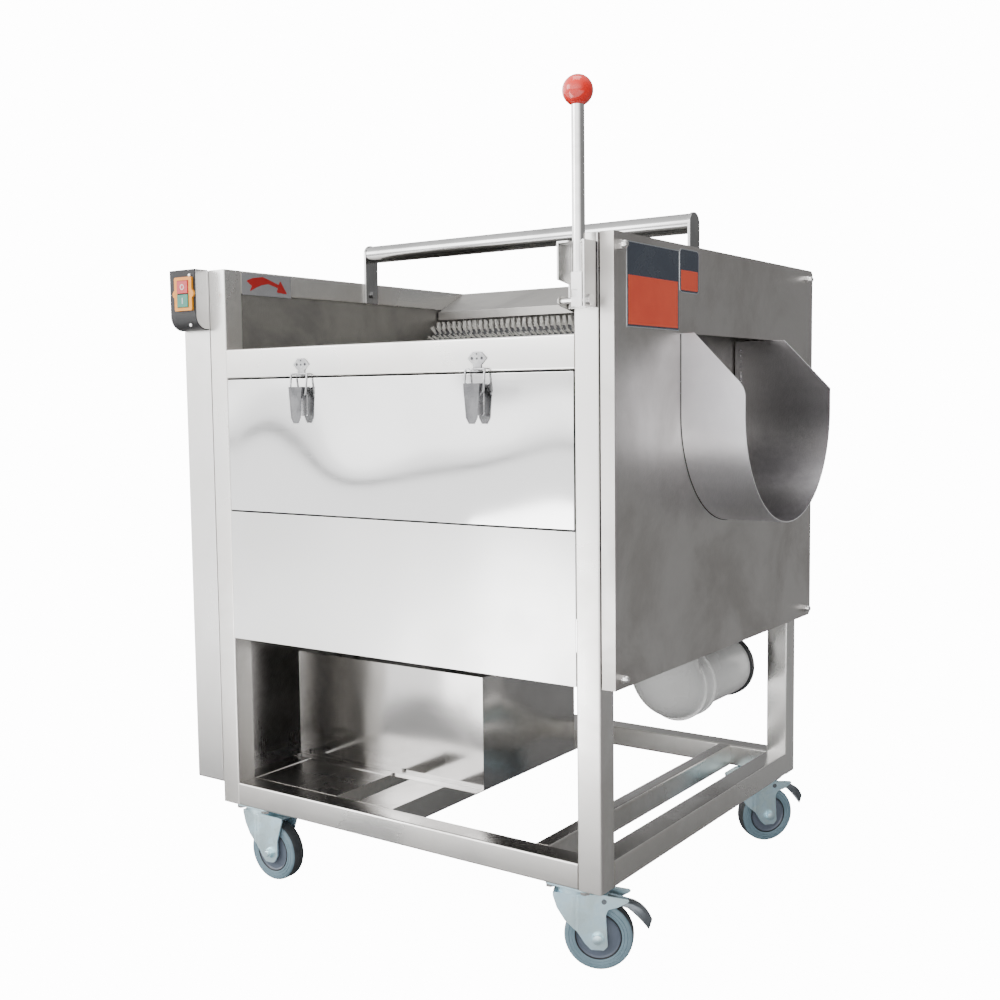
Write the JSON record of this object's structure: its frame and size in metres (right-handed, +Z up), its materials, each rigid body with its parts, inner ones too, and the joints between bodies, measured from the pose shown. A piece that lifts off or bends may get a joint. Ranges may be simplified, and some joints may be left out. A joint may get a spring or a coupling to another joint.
{
  "type": "root vegetable peeling machine",
  "caption": "Floor-standing brush-roller peeler for cocoyams and other roots, with an open hopper, gated side chute, lift-off front door and swivel casters, two of them braked.",
  "frame": {"origin": "on the floor under the middle of the machine's overall length and depth", "axes": "+Z up, +X towards the discharge chute, -Y towards the front with the door and the lever"},
  "size_m": [0.98, 0.8084, 1.2873],
  "materials": {
    "frame_tube": "satin brushed",
    "satin_sheet": "satin brushed",
    "polished_sheet": "mirror polished",
    "hopper_sheet": "dull rolled",
    "machined_steel": "machined",
    "zinc_plate": "bright zinc plated",
    "pedal_steel": "dark plated",
    "cast_housing": "painted casting",
    "motor_paint": "smooth enamel",
    "chain_steel": "oiled",
    "brush_nylon": "stiff nylon",
    "grey_tyre": "plain tread",
    "hub_plastic": "moulded",
    "red_ball": "glossy",
    "white_pipe": "smooth",
    "black_rubber": "smooth",
    "black_plate": "fine grained",
    "red_button": "glossy",
    "green_button": "glossy"
  },
  "bodies": {
    "frame": {"corner_posts": "frame_tube", "frame_rails": "frame_tube", "caster_plates": "zinc_plate", "side_panel": "satin_sheet", "dome_nuts": "machined_steel", "discharge_chute": "satin_sheet", "drive_cover": "satin_sheet", "end_plates": "hopper_sheet", "bearing_housings": "cast_housing", "hopper_sheets": "hopper_sheet", "back_panel": "satin_sheet", "lower_front_panel": "satin_sheet", "latch_keepers": "machined_steel", "motor_box": "polished_sheet", "motor": "motor_paint", "drive_chains": "chain_steel", "drain_tray": "hopper_sheet", "drain_elbow": "white_pipe", "drain_coupling": "black_rubber", "handle_bar": "frame_tube", "lever_bracket": "satin_sheet", "switch_hood": "satin_sheet", "switch_plate": "black_plate"},
    "roller_1": {"brush_roller_1": "brush_nylon"},
    "roller_2": {"brush_roller_2": "brush_nylon"},
    "roller_3": {"brush_roller_3": "brush_nylon"},
    "roller_4": {"brush_roller_4": "brush_nylon"},
    "roller_5": {"brush_roller_5": "brush_nylon"},
    "roller_6": {"brush_roller_6": "brush_nylon"},
    "roller_7": {"brush_roller_7": "brush_nylon"},
    "roller_8": {"brush_roller_8": "brush_nylon"},
    "roller_9": {"brush_roller_9": "brush_nylon"},
    "motor_shaft": {"motor_pinion": "machined_steel"},
    "gate_lever": {"control_lever": "machined_steel", "lever_knob": "red_ball", "discharge_gate": "satin_sheet"},
    "door": {"front_door": "polished_sheet", "latch_bases": "machined_steel"},
    "latch_left": {"latch_lever_left": "machined_steel"},
    "bail_left": {"latch_bail_left": "machined_steel"},
    "latch_right": {"latch_lever_right": "machined_steel"},
    "bail_right": {"latch_bail_right": "machined_steel"},
    "start_push": {"start_button": "green_button"},
    "stop_push": {"stop_button": "red_button"},
    "fork_front_left": {"caster_fork_front_left": "zinc_plate"},
    "wheel_front_left": {"caster_tyre_front_left": "grey_tyre", "caster_hub_front_left": "hub_plastic"},
    "fork_front_right": {"caster_fork_front_right": "zinc_plate"},
    "wheel_front_right": {"caster_tyre_front_right": "grey_tyre", "caster_hub_front_right": "hub_plastic"},
    "pedal_front_right": {"caster_pedal_front_right": "pedal_steel"},
    "fork_rear_left": {"caster_fork_rear_left": "zinc_plate"},
    "wheel_rear_left": {"caster_tyre_rear_left": "grey_tyre", "caster_hub_rear_left": "hub_plastic"},
    "fork_rear_right": {"caster_fork_rear_right": "zinc_plate"},
    "wheel_rear_right": {"caster_tyre_rear_right": "grey_tyre", "caster_hub_rear_right": "hub_plastic"},
    "pedal_rear_right": {"caster_pedal_rear_right": "pedal_steel"}
  },
  "joints": [
    {"name": "roller_1_spin", "type": "hinge", "parent": "frame", "child": "roller_1", "pos_m": [-0.04, 0.23747, 0.77], "axis": [1, 0, 0], "continuous": true},
    {"name": "roller_2_spin", "type": "hinge", "parent": "frame", "child": "roller_2", "pos_m": [-0.04, 0.19361, 0.68236], "axis": [1, 0, 0], "continuous": true},
    {"name": "roller_3_spin", "type": "hinge", "parent": "frame", "child": "roller_3", "pos_m": [-0.04, 0.11654, 0.62183], "axis": [1, 0, 0], "continuous": true},
    {"name": "roller_4_spin", "type": "hinge", "parent": "frame", "child": "roller_4", "pos_m": [-0.04, 0.021, 0.6], "axis": [1, 0, 0], "continuous": true},
    {"name": "roller_5_spin", "type": "hinge", "parent": "frame", "child": "roller_5", "pos_m": [-0.04, -0.07471, 0.62104], "axis": [1, 0, 0], "continuous": true},
    {"name": "roller_6_spin", "type": "hinge", "parent": "frame", "child": "roller_6", "pos_m": [-0.04, -0.15228, 0.68093], "axis": [1, 0, 0], "continuous": true},
    {"name": "roller_7_spin", "type": "hinge", "parent": "frame", "child": "roller_7", "pos_m": [-0.04, -0.19686, 0.76821], "axis": [1, 0, 0], "continuous": true},
    {"name": "roller_8_spin", "type": "hinge", "parent": "frame", "child": "roller_8", "pos_m": [-0.04, 0.24408, 0.868], "axis": [1, 0, 0], "continuous": true},
    {"name": "roller_9_spin", "type": "hinge", "parent": "frame", "child": "roller_9", "pos_m": [-0.04, 0.24408, 0.966], "axis": [1, 0, 0], "continuous": true},
    {"name": "motor_shaft_spin", "type": "hinge", "parent": "frame", "child": "motor_shaft", "pos_m": [-0.44, 0.021, 0.273], "axis": [1, 0, 0], "continuous": true},
    {"name": "gate_lever_pivot", "type": "hinge", "parent": "frame", "child": "gate_lever", "pos_m": [0.3442, -0.37992, 0.984], "axis": [1, 0, 0], "range_deg": [0, 20]},
    {"name": "door_lift_out", "type": "slide", "parent": "frame", "child": "door", "axis": [0, -1, 0], "range_m": [0, 0.12]},
    {"name": "latch_left_pivot", "type": "hinge", "parent": "door", "child": "latch_left", "pos_m": [-0.207, -0.36392, 0.868], "axis": [-1, 0, 0], "range_deg": [0, 75]},
    {"name": "bail_left_pivot", "type": "hinge", "parent": "latch_left", "child": "bail_left", "pos_m": [-0.207, -0.36892, 0.86], "axis": [-1, 0, 0], "range_deg": [-75, 0]},
    {"name": "latch_right_pivot", "type": "hinge", "parent": "door", "child": "latch_right", "pos_m": [0.152, -0.36392, 0.868], "axis": [-1, 0, 0], "range_deg": [0, 75]},
    {"name": "bail_right_pivot", "type": "hinge", "parent": "latch_right", "child": "bail_right", "pos_m": [0.152, -0.36892, 0.86], "axis": [-1, 0, 0], "range_deg": [-75, 0]},
    {"name": "start_press", "type": "slide", "parent": "frame", "child": "start_push", "axis": [0, 1, 0], "range_m": [0, 0.003], "stiffness_N_per_m": 800},
    {"name": "stop_press", "type": "slide", "parent": "frame", "child": "stop_push", "axis": [0, 1, 0], "range_m": [0, 0.003], "stiffness_N_per_m": 800},
    {"name": "swivel_front_left", "type": "hinge", "parent": "frame", "child": "fork_front_left", "pos_m": [-0.363, -0.32192, 0.123], "axis": [0, 0, 1], "continuous": true},
    {"name": "wheel_front_left_spin", "type": "hinge", "parent": "fork_front_left", "child": "wheel_front_left", "pos_m": [-0.3286, -0.32156, 0.052], "axis": [-0.0105, 0.9999, 0], "continuous": true},
    {"name": "swivel_front_right", "type": "hinge", "parent": "frame", "child": "fork_front_right", "pos_m": [0.295, -0.32192, 0.123], "axis": [0, 0, 1], "continuous": true},
    {"name": "wheel_front_right_spin", "type": "hinge", "parent": "fork_front_right", "child": "wheel_front_right", "pos_m": [0.32618, -0.30739, 0.052], "axis": [-0.4226, 0.9063, 0], "continuous": true},
    {"name": "pedal_front_right_press", "type": "hinge", "parent": "fork_front_right", "child": "pedal_front_right", "pos_m": [0.33488, -0.30333, 0.109], "axis": [-0.4226, 0.9063, 0], "range_deg": [0, 10]},
    {"name": "swivel_rear_left", "type": "hinge", "parent": "frame", "child": "fork_rear_left", "pos_m": [-0.363, 0.30808, 0.123], "axis": [0, 0, 1], "continuous": true},
    {"name": "wheel_rear_left_spin", "type": "hinge", "parent": "fork_rear_left", "child": "wheel_rear_left", "pos_m": [-0.32893, 0.31286, 0.052], "axis": [-0.1392, 0.9903, 0], "continuous": true},
    {"name": "swivel_rear_right", "type": "hinge", "parent": "frame", "child": "fork_rear_right", "pos_m": [0.295, 0.30808, 0.123], "axis": [0, 0, 1], "continuous": true},
    {"name": "wheel_rear_right_spin", "type": "hinge", "parent": "fork_rear_right", "child": "wheel_rear_right", "pos_m": [0.31665, 0.33481, 0.052], "axis": [-0.7771, 0.6293, 0], "continuous": true},
    {"name": "pedal_rear_right_press", "type": "hinge", "parent": "fork_rear_right", "child": "pedal_rear_right", "pos_m": [0.32269, 0.34227, 0.109], "axis": [-0.7771, 0.6293, 0], "range_deg": [0, 10]}
  ],
  "couplings": [
    {"joint": "roller_2_spin", "follows": "roller_1_spin", "ratio": 1},
    {"joint": "roller_3_spin", "follows": "roller_1_spin", "ratio": 1},
    {"joint": "roller_4_spin", "follows": "roller_1_spin", "ratio": 1},
    {"joint": "roller_5_spin", "follows": "roller_1_spin", "ratio": 1},
    {"joint": "roller_6_spin", "follows": "roller_1_spin", "ratio": 1},
    {"joint": "roller_7_spin", "follows": "roller_1_spin", "ratio": 1},
    {"joint": "roller_8_spin", "follows": "roller_1_spin", "ratio": 1},
    {"joint": "roller_9_spin", "follows": "roller_1_spin", "ratio": 1},
    {"joint": "motor_shaft_spin", "follows": "roller_1_spin", "ratio": 1},
    {"joint": "bail_left_pivot", "follows": "latch_left_pivot", "ratio": -1},
    {"joint": "bail_right_pivot", "follows": "latch_right_pivot", "ratio": -1}
  ]
}
